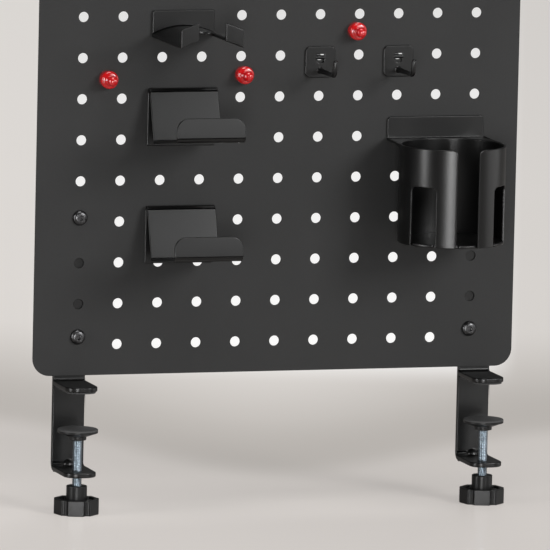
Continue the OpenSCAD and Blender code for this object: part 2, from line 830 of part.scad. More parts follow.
module pin(i) {
    // a base with a round edge, a waist and a round head, over a magnet in a blind hole
    head_r = pin_head_d / 2;
    head_z = pin_l - head_r;
    color(pin_colour) at_pin(i) difference() {
        union() {
            cylinder(d = pin_base_d, h = pin_rim_h);
            translate([0, 0, pin_rim_h]) rotate_extrude() intersection() {
                translate([pin_base_d / 2 - pin_edge_r, 0]) circle(pin_edge_r);
                translate([pin_base_d / 2 - pin_edge_r, 0]) square(pin_edge_r);
            }
            translate([0, 0, pin_rim_h])
                cylinder(r = pin_base_d / 2 - pin_edge_r, h = pin_edge_r);
            translate([0, 0, pin_rim_h]) cylinder(d = pin_waist_d, h = head_z - pin_rim_h);
            translate([0, 0, head_z]) sphere(head_r);
        }
        translate([0, 0, -past]) cylinder(d = magnet_d + 2 * seat_gap, h = magnet_t + past);
    }
}

module pin_magnet(i) {
    color(magnet_colour) at_pin(i) cylinder(d = magnet_d, h = magnet_t);
}

pegboard_panel();
clamp_strip(-1);  // left_clamp_strip
clamp_strip(1);  // right_clamp_strip
upper_jaw(-1);  // left_upper_jaw
upper_jaw(1);  // right_upper_jaw
jaw_pad(-1);  // left_jaw_pad
jaw_pad(1);  // right_jaw_pad
panel_bolts();
panel_nuts();
pressure_plate(-1);  // left_pressure_plate
pressure_plate(1);  // right_pressure_plate
cushion(-1);  // left_cushion
cushion(1);  // right_cushion
clamp_screw(-1);  // left_clamp_screw
clamp_screw(1);  // right_clamp_screw
knob(-1);  // left_knob
knob(1);  // right_knob
headphone_plate();
headphone_saddle();
tongues(shelf_columns, headphone_row);  // headphone_tongues
shelf(upper_shelf_row, upper_shelf_top);  // upper_shelf
tongues(shelf_columns, upper_shelf_row);  // upper_shelf_tongues
shelf(lower_shelf_row, lower_shelf_top);  // lower_shelf
tongues(shelf_columns, lower_shelf_row);  // lower_shelf_tongues
hook_plate(hook_columns[0]);  // left_hook_plate
hook_rod(hook_columns[0]);  // left_hook_rod
hook_plate(hook_columns[1]);  // right_hook_plate
hook_rod(hook_columns[1]);  // right_hook_rod
cup_bracket();
cup_shell();
cup_floor();
tongues(cup_columns, cup_row);  // cup_tongues
pin(0);  // left_pin
pin(1);  // middle_pin
pin(2);  // right_pin
pin_magnet(0);  // left_pin_magnet
pin_magnet(1);  // middle_pin_magnet
pin_magnet(2);  // right_pin_magnet
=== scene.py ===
"""Dresses the desk pegboard: rounded sheet edges, threads, lathed pins and plates, finishes,
floor and lights."""

import json
import math

import bmesh
import bpy
from bpy.props import FloatProperty, FloatVectorProperty, IntProperty, PointerProperty
from bpy.types import Operator, Panel, PropertyGroup
from mathutils import Matrix, Vector


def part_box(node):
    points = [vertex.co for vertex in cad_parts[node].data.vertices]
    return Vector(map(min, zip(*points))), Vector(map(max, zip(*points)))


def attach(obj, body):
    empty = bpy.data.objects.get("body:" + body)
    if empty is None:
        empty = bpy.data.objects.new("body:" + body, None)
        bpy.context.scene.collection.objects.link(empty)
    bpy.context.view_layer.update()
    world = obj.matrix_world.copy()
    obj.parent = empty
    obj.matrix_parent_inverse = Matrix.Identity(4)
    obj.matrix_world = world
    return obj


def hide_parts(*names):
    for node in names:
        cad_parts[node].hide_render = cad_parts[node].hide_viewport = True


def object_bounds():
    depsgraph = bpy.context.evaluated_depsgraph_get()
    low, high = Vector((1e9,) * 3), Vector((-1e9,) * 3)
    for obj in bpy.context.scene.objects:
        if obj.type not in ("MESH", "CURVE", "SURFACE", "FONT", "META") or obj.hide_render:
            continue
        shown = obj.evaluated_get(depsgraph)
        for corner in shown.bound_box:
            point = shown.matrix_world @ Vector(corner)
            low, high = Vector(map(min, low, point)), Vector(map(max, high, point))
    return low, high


bl_info = {
    "name": "Desk pegboard",
    "version": (1, 0, 0),
    "blender": (4, 5, 0),
    "location": "3D View > Sidebar > Pegboard",
    "description": "Builds the looks of a clamp-on desk pegboard round its solids",
    "category": "Object",
}

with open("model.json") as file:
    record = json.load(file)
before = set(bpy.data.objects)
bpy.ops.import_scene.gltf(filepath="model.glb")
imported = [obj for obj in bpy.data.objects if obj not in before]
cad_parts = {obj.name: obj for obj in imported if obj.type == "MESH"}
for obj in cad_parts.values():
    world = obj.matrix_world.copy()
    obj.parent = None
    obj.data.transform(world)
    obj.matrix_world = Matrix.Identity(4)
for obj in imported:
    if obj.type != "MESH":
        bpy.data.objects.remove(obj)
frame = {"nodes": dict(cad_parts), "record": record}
CAD_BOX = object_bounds()

MM = 0.001
SIDES = ("left", "right")
SHELVES = ("upper", "lower")
PINS = ("left", "middle", "right")

MERGE = 0.002 * MM  # points nearer to each other than this become one
NEAR = 0.01 * MM  # points nearer than this to a ring or a level count as on it
SMOOTH = math.radians(50)  # faces that meet at less than this are shaded as one
SHARP = math.radians(32)  # edges whose faces meet at more than this are rounded
FLAT = math.radians(0.2)  # faces that meet at less than this are one flat face
FORWARD = Matrix.Rotation(math.radians(90), 4, "X")  # turns z to the front


def body_of(node):
    """The name of the body that carries a node."""
    bodies = frame["record"]["behaviour"]["bodies"]
    return next(name for name, nodes in bodies.items() if node in nodes)


def middle_of(node):
    low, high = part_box(node)
    return (low + high) / 2


# Sizes and colours


def length(name, description, default, low=0.0, high=1.0):
    return FloatProperty(
        name=name,
        description=description,
        default=default,
        min=low,
        max=high,
        precision=5,
        subtype="DISTANCE",
        unit="LENGTH",
    )


def count(name, description, default, low, high):
    return IntProperty(name=name, description=description, default=default, min=low, max=high)


def angle(name, description, degrees):
    return FloatProperty(
        name=name,
        description=description,
        default=math.radians(degrees),
        subtype="ANGLE",
        unit="ROTATION",
    )


def share(name, description, default):
    return FloatProperty(
        name=name,
        description=description,
        default=default,
        min=0.0,
        max=1.0,
        subtype="FACTOR",
    )


def colour(name, description, default):
    return FloatVectorProperty(
        name=name,
        description=description,
        default=default,
        min=0.0,
        max=1.0,
        size=3,
        subtype="COLOR",
    )


def power(name, description, default):
    return FloatProperty(
        name=name,
        description=description,
        default=default,
        min=0.0,
        unit="POWER",
    )


class EdgeSizes(PropertyGroup):
    panel: length("Panel edge", "Rounding of the panel's and its holes' edges", 0.00022)
    sheet: length("Sheet edge", "Rounding of the accessories' sheet edges", 0.0006)
    clamp: length("Clamp edge", "Rounding of the clamp strips' and jaws' edges", 0.0007)
    small: length("Small edge", "Rounding of pads, nuts and tongues", 0.00025)
    knob: length("Knob edge", "Rounding of the knobs' edges", 0.0005)
    plate: length("Plate edge", "Rounding of the pressure plates' edges", 0.0004)
    segments: count("Segments", "Faces across a rounded edge", 2, 1, 6)


class ThreadSizes(PropertyGroup):
    pitch: length("Screw pitch", "Distance between turns of the clamp screws", 0.001)
    depth: length("Screw depth", "Depth of the clamp screws' thread", 0.00045)
    bolt_pitch: length("Bolt pitch", "Distance between turns of the bolts", 0.0008)
    bolt_depth: length("Bolt depth", "Depth of the bolts' thread", 0.0004)
    steps: count("Steps", "Faces round one turn", 24, 8, 48)


class Finishes(PropertyGroup):
    panel_colour: colour("Panel", "Powder coat of the panel", (0.02, 0.02, 0.02))
    steel_colour: colour("Steel", "Paint of clamps and accessories", (0.002, 0.002, 0.002))
    bolt_colour: colour("Bolts", "Black finish of the bolts", (0.085, 0.085, 0.087))
    plastic_colour: colour("Plastic", "Knobs and pressure plates", (0.008, 0.008, 0.0082))
    rubber_colour: colour("Rubber", "Cushions and jaw pads", (0.05, 0.05, 0.05))
    zinc_colour: colour("Zinc", "Clamp screws and nuts", (0.5, 0.56, 0.61))
    pin_colour: colour("Pins", "Moulded plastic of the pins", (0.56, 0.006, 0.008))
    magnet_colour: colour("Magnets", "Nickel plate of the magnets", (0.55, 0.54, 0.52))
    panel_roughness: share("Panel roughness", "Roughness of the panel", 0.62)
    steel_roughness: share("Steel roughness", "Roughness of the accessories", 0.3)
    grain: length("Grain", "Size of the powder coat's grain", 0.0008)
    grain_depth: length("Grain depth", "Height of the powder coat's grain", 0.0000007)


class StageSettings(PropertyGroup):
    front_colour: colour("Front floor", "Floor far in front of the board", (0.3, 0.283, 0.27))
    near_colour: colour("Near floor", "Floor round the board", (0.497, 0.469, 0.447))
    # Painted shadow: this darker band of floor behind the clamps stands in for the board's soft
    # shadow.
    painted_shadow_colour: colour("Band", "Darker floor behind the clamps", (0.356, 0.334, 0.312))
    mid_colour: colour("Middle floor", "Floor below the board's edge", (0.424, 0.4, 0.376))
    far_colour: colour("Far floor", "Floor behind the board", (0.613, 0.586, 0.56))
    end_colour: colour("End of the floor", "Floor far behind the board", (0.775, 0.745, 0.715))
    # Painted light: this bright patch of floor behind the board, seen through the holes, stands in
    # for light shining through them.
    painted_light_colour: colour("Glow", "Floor seen through the holes", (0.82, 0.814, 0.808))
    eye_distance: length("Eye distance", "Distance along the floor to the camera", 5.95, 1.0, 20.0)
    glow: share("Own light", "Light that the floor adds for the eye", 0.75)
    floor_radius: length("Floor radius", "Radius of the round floor", 60.0, 2.0, 200.0)
    key: power("Key light", "Power of the light from the upper right", 38.0)
    side_key: power("Side key light", "Power of the light from the right", 6.5)
    front: power("Front light", "Power of the low light beside the camera", 19.0)
    left: power("Left light", "Power of the narrow light on the left", 7.5)
    right: power("Right light", "Power of the light at the right side", 4.0)
    top: power("Top light", "Power of the light overhead", 20.0)
    back: power("Back light", "Power of the light behind the board", 16.0)
    ambient: share("Ambient", "Strength of the world's light", 0.06)


class ViewSettings(PropertyGroup):
    azimuth: angle("Azimuth", "Turn of the camera round the board", -17.5)
    elevation: angle("Elevation", "Height of the camera over the horizon", 7.8)
    roll: angle("Roll", "Turn of the camera about its own axis", 1.3)
    distance: length("Distance", "From the camera to the point it looks at", 6.0, 0.5, 20.0)
    field: length("Field", "Width of the view at that point", 0.3407, 0.05, 5.0)
    aim: FloatVectorProperty(
        name="Aim",
        description="Point in the middle of the view",
        default=(-0.0001, 0.0, 0.0669),
        size=3,
        subtype="TRANSLATION",
        unit="LENGTH",
    )


class PegboardSettings(PropertyGroup):
    edges: PointerProperty(type=EdgeSizes)
    threads: PointerProperty(type=ThreadSizes)
    finishes: PointerProperty(type=Finishes)
    stage: PointerProperty(type=StageSettings)
    view: PointerProperty(type=ViewSettings)


# Meshes


def object_of(name, data):
    """Makes an object and links it to the scene."""
    made = bpy.data.objects.new(name, data)
    bpy.context.scene.collection.objects.link(made)
    return made


def show(node, bm, slot, coat=None, weighted=True):
    """Makes a mesh object that rides on a node's body and stands for the node."""
    name = node + "_finished"
    mesh = bpy.data.meshes.new(name)
    bm.normal_update()
    for face in bm.faces:
        face.smooth = True
    for edge in bm.edges:
        edge.smooth = len(edge.link_faces) == 2 and edge.calc_face_angle(0) < SMOOTH
    bm.to_mesh(mesh)
    bm.free()
    piece = object_of(name, mesh)
    piece.data.materials.append(finish_named(coat or slot))
    if weighted:
        normals = piece.modifiers.new("Weighted normals", "WEIGHTED_NORMAL")
        normals.mode = "FACE_AREA"
        normals.weight = 50
        normals.keep_sharp = True
    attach(piece, body_of(node))
    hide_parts(node)


def copy_of(node):
    """The node's own mesh as a bmesh, joined up, with its flat faces in one piece each."""
    bm = bmesh.new()
    bm.from_mesh(frame["nodes"][node].data)
    bmesh.ops.remove_doubles(bm, verts=bm.verts, dist=MERGE)
    bmesh.ops.dissolve_limit(
        bm,
        angle_limit=FLAT,
        verts=bm.verts,
        edges=bm.edges,
        use_dissolve_boundaries=False,
        delimit={"NORMAL"},
    )
    return bm


def round_edges(bm, edges, radius, segments):
    bmesh.ops.bevel(
        bm,
        geom=edges,
        offset=radius,
        offset_type="OFFSET",
        segments=segments,
        profile=0.5,
        affect="EDGES",
        clamp_overlap=False,
        loop_slide=False,
        material=-1,
    )


def rounded_piece(node, radius, slot, coat=None, segments=None):
    """A copy of a node with round edges and its finish."""
    bm = copy_of(node)
    sharp = [e for e in bm.edges if len(e.link_faces) == 2 and e.calc_face_angle(0) > SHARP]
    segments = segments or bpy.context.scene.pegboard.edges.segments
    round_edges(bm, sharp, radius, segments)
    show(node, bm, slot, coat)


def lathe(outline, steps=64):
    """Spins an outline of (radius, height) points about z into a closed body."""
    bm = bmesh.new()
    verts = [bm.verts.new((r, 0, z)) for r, z in outline]
    edges = [bm.edges.new(pair) for pair in zip(verts, verts[1:])]
    if outline[0][0] > 0 and outline[-1][0] > 0:
        edges.append(bm.edges.new((verts[-1], verts[0])))
    bmesh.ops.spin(
        bm,
        geom=verts + edges,
        cent=(0, 0, 0),
        axis=(0, 0, 1),
        dvec=(0, 0, 0),
        angle=math.tau,
        steps=steps,
        use_merge=True,
    )
    bmesh.ops.remove_doubles(bm, verts=bm.verts, dist=MERGE)
    bmesh.ops.recalc_face_normals(bm, faces=bm.faces)
    return bm


def ring(bm, radius, height):
    """The edges of a lathed body that run round it at a radius and a height."""

    def on_ring(vert):
        across = math.hypot(vert.co.x, vert.co.y)
        return abs(across - radius) < NEAR and abs(vert.co.z - height) < NEAR

    return [e for e in bm.edges if all(on_ring(v) for v in e.verts)]


def join(bm, other):
    """Adds another closed body to a bmesh."""
    mesh = bpy.data.meshes.new("part")
    other.to_mesh(mesh)
    other.free()
    bm.from_mesh(mesh)
    bpy.data.meshes.remove(mesh)


def thread(radius, depth, pitch, low, high, steps):
    """A right-hand thread about z, cut off square and closed at both ends."""
    bm = bmesh.new()
    root = radius - depth
    outline = ((root, 0.0), (radius, 0.42), (radius, 0.58), (root, 1.0))
    start = low - 1.5 * pitch
    spare_turns = 2
    turns = math.ceil((high - low) / pitch) + spare_turns
    verts = [bm.verts.new((r, 0, start + z * pitch)) for r, z in outline]
    edges = [bm.edges.new(pair) for pair in zip(verts, verts[1:])]
    bmesh.ops.spin(
        bm,
        geom=verts + edges,
        cent=(0, 0, 0),
        axis=(0, 0, 1),
        dvec=(0, 0, pitch / steps),
        angle=math.tau * turns,
        steps=steps * turns,
        use_merge=False,
    )
    bmesh.ops.remove_doubles(bm, verts=bm.verts, dist=MERGE)
    for height, way in ((low, -1), (high, 1)):
        bmesh.ops.bisect_plane(
            bm,
            geom=bm.verts[:] + bm.edges[:] + bm.faces[:],
            plane_co=(0, 0, height),
            plane_no=(0, 0, way),
            clear_outer=True,
        )
        rim = [
            e
            for e in bm.edges
            if e.is_boundary and all(abs(v.co.z - height) < NEAR for v in e.verts)
        ]
        bmesh.ops.edgeloop_fill(bm, edges=rim)
    bmesh.ops.recalc_face_normals(bm, faces=bm.faces)
    return bm


def extrude(bm, faces, first=False):
    """Extrudes end faces, and keeps the old ones only where they close the first end."""
    made = bmesh.ops.extrude_face_region(bm, geom=faces)["geom"]
    if not first:
        bmesh.ops.delete(bm, geom=faces, context="FACES_ONLY")
    verts = [v for v in made if isinstance(v, bmesh.types.BMVert)]
    return verts, [f for f in made if isinstance(f, bmesh.types.BMFace)]


def place(bm, matrix):
    bmesh.ops.transform(bm, matrix=matrix, verts=bm.verts)
    return bm


def upright_at(node):
    """Moves a body that stands on the z axis to a node's own axis."""
    middle = middle_of(node)
    return Matrix.Translation((middle.x, middle.y, 0))


def forward_at(node):
    """Turns a body's z to the front, with its foot at the middle of a node's rear."""
    middle, rear = middle_of(node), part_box(node)[1].y
    return Matrix.Translation((middle.x, rear, middle.z)) @ FORWARD


# Finishes


class Finish:
    """A fresh material whose shader is fed from Object coordinates."""

    def __init__(self, name):
        self.material = bpy.data.materials.new(name)
        self.material.use_nodes = True
        self.nodes = self.material.node_tree.nodes
        self.links = self.material.node_tree.links
        self.shader = self.nodes["Principled BSDF"]
        self.coords = self.nodes.new("ShaderNodeTexCoord").outputs["Object"]

    def feed(self, output, name):
        """Links an output to an input of the shader."""
        self.links.new(output, self.shader.inputs[name])

    def noise(self, scale, detail=4.0):
        """Soft random values, with so many patches to a metre."""
        texture = self.nodes.new("ShaderNodeTexNoise")
        texture.inputs["Scale"].default_value = scale
        texture.inputs["Detail"].default_value = detail
        texture.inputs["Roughness"].default_value = 0.55
        self.links.new(self.coords, texture.inputs["Vector"])
        return texture.outputs["Fac"]

    def cells(self, size):
        """Small cells of a size, highest along their borders."""
        texture = self.nodes.new("ShaderNodeTexVoronoi")
        texture.inputs["Scale"].default_value = 1.0 / size
        self.links.new(self.coords, texture.inputs["Vector"])
        return texture.outputs["Distance"]

    def tint(self, colour, value, darkest, lightest):
        """Runs the base colour between two shades as a noise passes its middle range."""
        blend = self.nodes.new("ShaderNodeValToRGB")
        low, high = blend.color_ramp.elements
        for element, stop, amount in ((low, 0.35, darkest), (high, 0.65, lightest)):
            element.position = stop
            element.color = (*(min(1.0, part * amount) for part in colour), 1)
        self.links.new(value, blend.inputs["Fac"])
        self.feed(blend.outputs["Color"], "Base Color")

    def roughen(self, value, smoothest, roughest):
        """Runs the roughness between two limits over a noise's middle range."""
        mapped = self.nodes.new("ShaderNodeMapRange")
        mapped.inputs["From Min"].default_value = 0.3
        mapped.inputs["From Max"].default_value = 0.7
        mapped.inputs["To Min"].default_value = smoothest
        mapped.inputs["To Max"].default_value = roughest
        self.links.new(value, mapped.inputs["Value"])
        self.feed(mapped.outputs["Result"], "Roughness")

    def bump(self, height, distance):
        """Raises the surface by a distance where a height is 1."""
        raised = self.nodes.new("ShaderNodeBump")
        raised.inputs["Distance"].default_value = distance
        raised.inputs["Strength"].default_value = 1.0
        self.links.new(height, raised.inputs["Height"])
        self.feed(raised.outputs["Normal"], "Normal")


def powder_coat(name, colour, roughness, uneven, grain, depth, level):
    """Paint baked on as powder: an even colour with a fine, slightly uneven grain."""
    coat = Finish(name)
    coat.shader.inputs["Specular IOR Level"].default_value = level
    coat.tint(colour, coat.noise(14.0), 0.93, 1.07)
    fine = coat.noise(1.0 / grain, 3.0)
    coat.roughen(fine, roughness - uneven, roughness + uneven)
    coat.bump(fine, depth)
    return coat.material


def moulded(name, colour, roughness, grain, depth, level=0.5):
    """Moulded plastic or rubber with a fine even texture."""
    coat = Finish(name)
    coat.shader.inputs["Specular IOR Level"].default_value = level
    cloud = coat.noise(60.0)
    coat.tint(colour, cloud, 0.9, 1.12)
    coat.roughen(cloud, roughness - 0.03, roughness + 0.06)
    coat.bump(coat.cells(grain), depth)
    return coat.material


def plated(name, colour, roughness, patches):
    """Plated metal with a cloudy tone and finer marks."""
    coat = Finish(name)
    coat.shader.inputs["Metallic"].default_value = 1.0
    coat.tint(colour, coat.noise(patches), 0.93, 1.05)
    fine = coat.noise(patches * 4)
    coat.roughen(fine, roughness - 0.03, roughness + 0.05)
    coat.bump(fine, 0.0000004)
    return coat.material


def glossy_plastic(name, colour):
    """Smooth plastic with a clear, glossy skin."""
    coat = Finish(name)
    coat.shader.inputs["Coat Weight"].default_value = 1.0
    coat.shader.inputs["Coat Roughness"].default_value = 0.05
    cloud = coat.noise(220.0)
    coat.tint(colour, cloud, 0.92, 1.08)
    coat.roughen(cloud, 0.13, 0.15)
    coat.bump(cloud, 0.000001)
    return coat.material


def finish_named(slot):
    """The finish of a slot, or the panel's coat, made when it is first wanted."""
    name = slot + "_finish"
    made = bpy.data.materials.get(name)
    if made:
        return made
    tones = bpy.context.scene.pegboard.finishes
    grain, depth = tones.grain, tones.grain_depth
    makers = {
        "panel_coat": lambda: powder_coat(
            name, tones.panel_colour, tones.panel_roughness, 0.05, grain, 12 * depth, 0.35
        ),
        "black_steel": lambda: powder_coat(
            name, tones.steel_colour, tones.steel_roughness, 0.012, grain, depth, 0.5
        ),
        "black_bolts": lambda: plated(name, tones.bolt_colour, 0.32, 160.0),
        "black_plastic": lambda: moulded(
            name, tones.plastic_colour, 0.32, 0.0006, 0.000002, 0.36
        ),
        "black_rubber": lambda: moulded(name, tones.rubber_colour, 0.7, 0.0008, 0.00001),
        "zinc_steel": lambda: plated(name, tones.zinc_colour, 0.33, 220.0),
        "red_plastic": lambda: glossy_plastic(name, tones.pin_colour),
        "magnet": lambda: plated(name, tones.magnet_colour, 0.22, 300.0),
    }
    return makers[slot]()


# Operators


class PegboardOperator:
    bl_options = {"REGISTER", "UNDO"}

    def execute(self, context):
        self.build(context.scene.pegboard)
        return {"FINISHED"}


class PEGBOARD_OT_panel(PegboardOperator, Operator):
    """Rounds the edges of the perforated panel and its holes and coats it"""

    bl_idname = "pegboard.panel"
    bl_label = "Panel"

    def build(self, settings):
        rounded_piece("pegboard_panel", settings.edges.panel, "black_steel", "panel_coat")


class PEGBOARD_OT_clamp_frames(PegboardOperator, Operator):
    """Rounds and paints the clamp strips and upper jaws, with their rubber strips"""

    bl_idname = "pegboard.clamp_frames"
    bl_label = "Clamp frames"

    def build(self, settings):
        edges = settings.edges
        for side in SIDES:
            rounded_piece(side + "_clamp_strip", edges.clamp, "black_steel", segments=3)
            rounded_piece(side + "_upper_jaw", edges.clamp, "black_steel", segments=3)
            rounded_piece(side + "_jaw_pad", edges.small, "black_rubber")


class PEGBOARD_OT_panel_bolts(PegboardOperator, Operator):
    """Turns the button-head bolts with their sockets and threads"""

    bl_idname = "pegboard.panel_bolts"
    bl_label = "Panel bolts"

    def build(self, settings):
        low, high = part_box("panel_bolts")
        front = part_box("pegboard_panel")[0].y
        head_r, shank_r = 4.75 * MM, 2.5 * MM
        in_head = 0.2 * MM
        threads = settings.threads
        bm = bmesh.new()
        for x in (low.x + head_r, high.x - head_r):
            for z in (low.z + head_r, high.z - head_r):
                at = Matrix.Translation((x, front, z)) @ FORWARD
                join(bm, place(self.head(head_r, front - low.y), at))
                shank = thread(
                    shank_r,
                    threads.bolt_depth,
                    threads.bolt_pitch,
                    front - high.y,
                    in_head,
                    threads.steps,
                )
                join(bm, place(shank, at))
        show("panel_bolts", bm, "black_bolts")

    def head(self, radius, height):
        """A low dome with a hexagonal socket, its underside at z = 0."""
        apothem, depth = 1.5 * MM, 1.6 * MM
        dome = ((0.97, 0.35), (0.87, 0.7), (0.7, 0.92), (0.5, 1.0))

        def hexagon(turn):
            in_flat = (turn + math.pi / 6) % (math.pi / 3) - math.pi / 6
            return apothem / math.cos(in_flat)

        bm = bmesh.new()
        bmesh.ops.create_circle(bm, segments=48, radius=radius, cap_ends=True)
        end = bm.faces[:]
        for across, rise in dome:
            end = self.ring_above(bm, end, lambda turn: radius * across, height * rise)
        for level in (height, height - depth):
            end = self.ring_above(bm, end, hexagon, level)
        bmesh.ops.recalc_face_normals(bm, faces=bm.faces)
        return bm

    def ring_above(self, bm, faces, reach, level):
        """Extrudes the end face to a level, with its rim at a reach for each direction."""
        verts, end = extrude(bm, faces, len(bm.faces) == 1)
        for vert in verts:
            turn = math.atan2(vert.co.y, vert.co.x)
            vert.co = (reach(turn) * math.cos(turn), reach(turn) * math.sin(turn), level)
        return end


class PEGBOARD_OT_panel_nuts(PegboardOperator, Operator):
    """Rounds the corners of the nuts behind the panel"""

    bl_idname = "pegboard.panel_nuts"
    bl_label = "Panel nuts"

    def build(self, settings):
        rounded_piece("panel_nuts", settings.edges.small, "zinc_steel")


class PEGBOARD_OT_clamp_screws(PegboardOperator, Operator):
    """Cuts the threads of the clamp screws, with their riveted ends"""

    bl_idname = "pegboard.clamp_screws"
    bl_label = "Clamp screws"

    def build(self, settings):
        threads = settings.threads
        radius = 3.0 * MM
        neck_r, neck_h = 2.3 * MM, 0.5 * MM
        head_r, head_h = 3.7 * MM, 0.8 * MM
        for side in SIDES:
            node = side + "_clamp_screw"
            low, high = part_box(node)
            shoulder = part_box(side + "_pressure_plate")[0].z
            bm = thread(radius, threads.depth, threads.pitch, low.z, shoulder, threads.steps)
            rivet = lathe([
                (0.0, shoulder - neck_h),
                (neck_r, shoulder - neck_h),
                (neck_r, high.z - head_h),
                (head_r, high.z - head_h),
                (head_r, high.z),
                (0.0, high.z),
            ], 48)
            round_edges(rivet, ring(rivet, head_r, high.z), 0.3 * MM, 2)
            join(bm, rivet)
            show(node, place(bm, upright_at(node)), "zinc_steel")


class PEGBOARD_OT_pressure_plates(PegboardOperator, Operator):
    """Turns the dished pressure plates and their rubber cushions"""

    bl_idname = "pegboard.pressure_plates"
    bl_label = "Pressure plates"

    def build(self, settings):
        for side in SIDES:
            self.plate(side, settings.edges.plate)
            self.cushion(side)

    def plate(self, side, edge):
        """A disc with a dished underside, a hub below it and a well for the rivet."""
        node = side + "_pressure_plate"
        low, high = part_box(node)
        bore_r, well_r, hub_r, dish_r = 2.35 * MM, 4.2 * MM, 5.35 * MM, 6.75 * MM
        rim_r = (high.x - low.x) / 2
        rim_z = high.z - 1.4 * MM
        dish_z = rim_z - 2.0 * MM
        well_z = high.z - 0.9 * MM
        bm = lathe([
            (bore_r, low.z),
            (hub_r, low.z),
            (hub_r, dish_z),
            (dish_r, dish_z),
            (rim_r - 0.7 * MM, rim_z),
            (rim_r, rim_z),
            (rim_r, high.z),
            (well_r, high.z),
            (well_r, well_z),
            (bore_r, well_z),
        ])
        for radius, height, segments in (
            (rim_r, rim_z, 3),
            (hub_r, low.z, 2),
            (dish_r, dish_z, 2),
        ):
            round_edges(bm, ring(bm, radius, height), edge, segments)
        show(node, place(bm, upright_at(node)), "black_plastic")

    def cushion(self, side):
        node = side + "_cushion"
        low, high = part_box(node)
        rim_r = (high.x - low.x) / 2
        bm = lathe([(0.0, low.z), (rim_r, low.z), (rim_r, high.z), (0.0, high.z)])
        round_edges(bm, ring(bm, rim_r, high.z), 0.6 * MM, 4)
        show(node, place(bm, upright_at(node)), "black_rubber")


class PEGBOARD_OT_knobs(PegboardOperator, Operator):
    """Rounds the edges of the fluted knobs"""

    bl_idname = "pegboard.knobs"
    bl_label = "Knobs"

    def build(self, settings):
        for side in SIDES:
            rounded_piece(side + "_knob", settings.edges.knob, "black_plastic", segments=3)


class PEGBOARD_OT_headphone_holder(PegboardOperator, Operator):
    """Rounds and paints the headphone holder"""

    bl_idname = "pegboard.headphone_holder"
    bl_label = "Headphone holder"

    def build(self, settings):
        rounded_piece("headphone_plate", settings.edges.sheet, "black_steel")
        rounded_piece("headphone_saddle", settings.edges.sheet, "black_steel")


class PEGBOARD_OT_shelves(PegboardOperator, Operator):
    """Rounds and paints the folded shelves"""

    bl_idname = "pegboard.shelves"
    bl_label = "Shelves"

    def build(self, settings):
        for shelf in SHELVES:
            rounded_piece(shelf + "_shelf", settings.edges.sheet, "black_steel")


class PEGBOARD_OT_hooks(PegboardOperator, Operator):
    """Paints the hook plates and bends their rods"""

    bl_idname = "pegboard.hooks"
    bl_label = "Hooks"

    def build(self, settings):
        for side in SIDES:
            rounded_piece(side + "_hook_plate", settings.edges.sheet, "black_steel")
            self.rod(side)

    def rod(self, side):
        """A bent rod that starts at its plate, with a weld ring round its foot."""
        node = side + "_hook_rod"
        low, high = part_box(node)
        radius, bend_r = 1.5 * MM, 3.2 * MM
        weld_r, weld_h = 2.2 * MM, 0.7 * MM
        straight, tip = 26.3 * MM, 7.0 * MM
        turn = math.radians(75)
        lean = Vector((0, -math.cos(turn), math.sin(turn)))
        foot = Vector((middle_of(node).x, high.y, low.z + radius))
        bm = bmesh.new()
        bmesh.ops.create_circle(bm, segments=24, radius=weld_r, cap_ends=True)
        place(bm, Matrix.Translation(foot) @ FORWARD)
        end = self.pull(bm, bm.faces[:], Vector((0, -weld_h, 0)), radius / weld_r)
        end = self.pull(bm, end, Vector((0, weld_h - straight, 0)))
        spun = bmesh.ops.spin(
            bm,
            geom=end,
            cent=foot + Vector((0, -straight, bend_r)),
            axis=(-1, 0, 0),
            dvec=(0, 0, 0),
            angle=turn,
            steps=10,
            use_merge=False,
        )["geom_last"]
        bmesh.ops.delete(bm, geom=end, context="FACES_ONLY")
        end = [f for f in spun if isinstance(f, bmesh.types.BMFace)]
        end = self.pull(bm, end, lean * tip)
        for step, size in ((0.35 * MM, 0.82), (0.2 * MM, 0.62)):
            end = self.pull(bm, end, lean * step, size)
        bmesh.ops.recalc_face_normals(bm, faces=bm.faces)
        show(node, bm, "black_steel", weighted=False)

    def pull(self, bm, faces, way, size=1.0):
        """Extrudes end faces along a vector, scales the new ones and returns them."""
        verts, end = extrude(bm, faces, len(bm.faces) == 1)
        bmesh.ops.translate(bm, vec=way, verts=verts)
        centre = sum((v.co for v in verts), Vector()) / len(verts)
        bmesh.ops.scale(bm, vec=[size] * 3, space=Matrix.Translation(-centre), verts=verts)
        return end


class PEGBOARD_OT_cup_holder(PegboardOperator, Operator):
    """Rounds and paints the cup holder's bracket, wall and floor"""

    bl_idname = "pegboard.cup_holder"
    bl_label = "Cup holder"

    def build(self, settings):
        for node in ("cup_bracket", "cup_shell", "cup_floor"):
            rounded_piece(node, settings.edges.sheet, "black_steel")


class PEGBOARD_OT_tongues(PegboardOperator, Operator):
    """Rounds and paints the tongues that hang in the peg holes"""

    bl_idname = "pegboard.tongues"
    bl_label = "Tongues"

    def build(self, settings):
        for name in ("headphone", "upper_shelf", "lower_shelf", "cup"):
            rounded_piece(name + "_tongues", settings.edges.small, "black_steel")


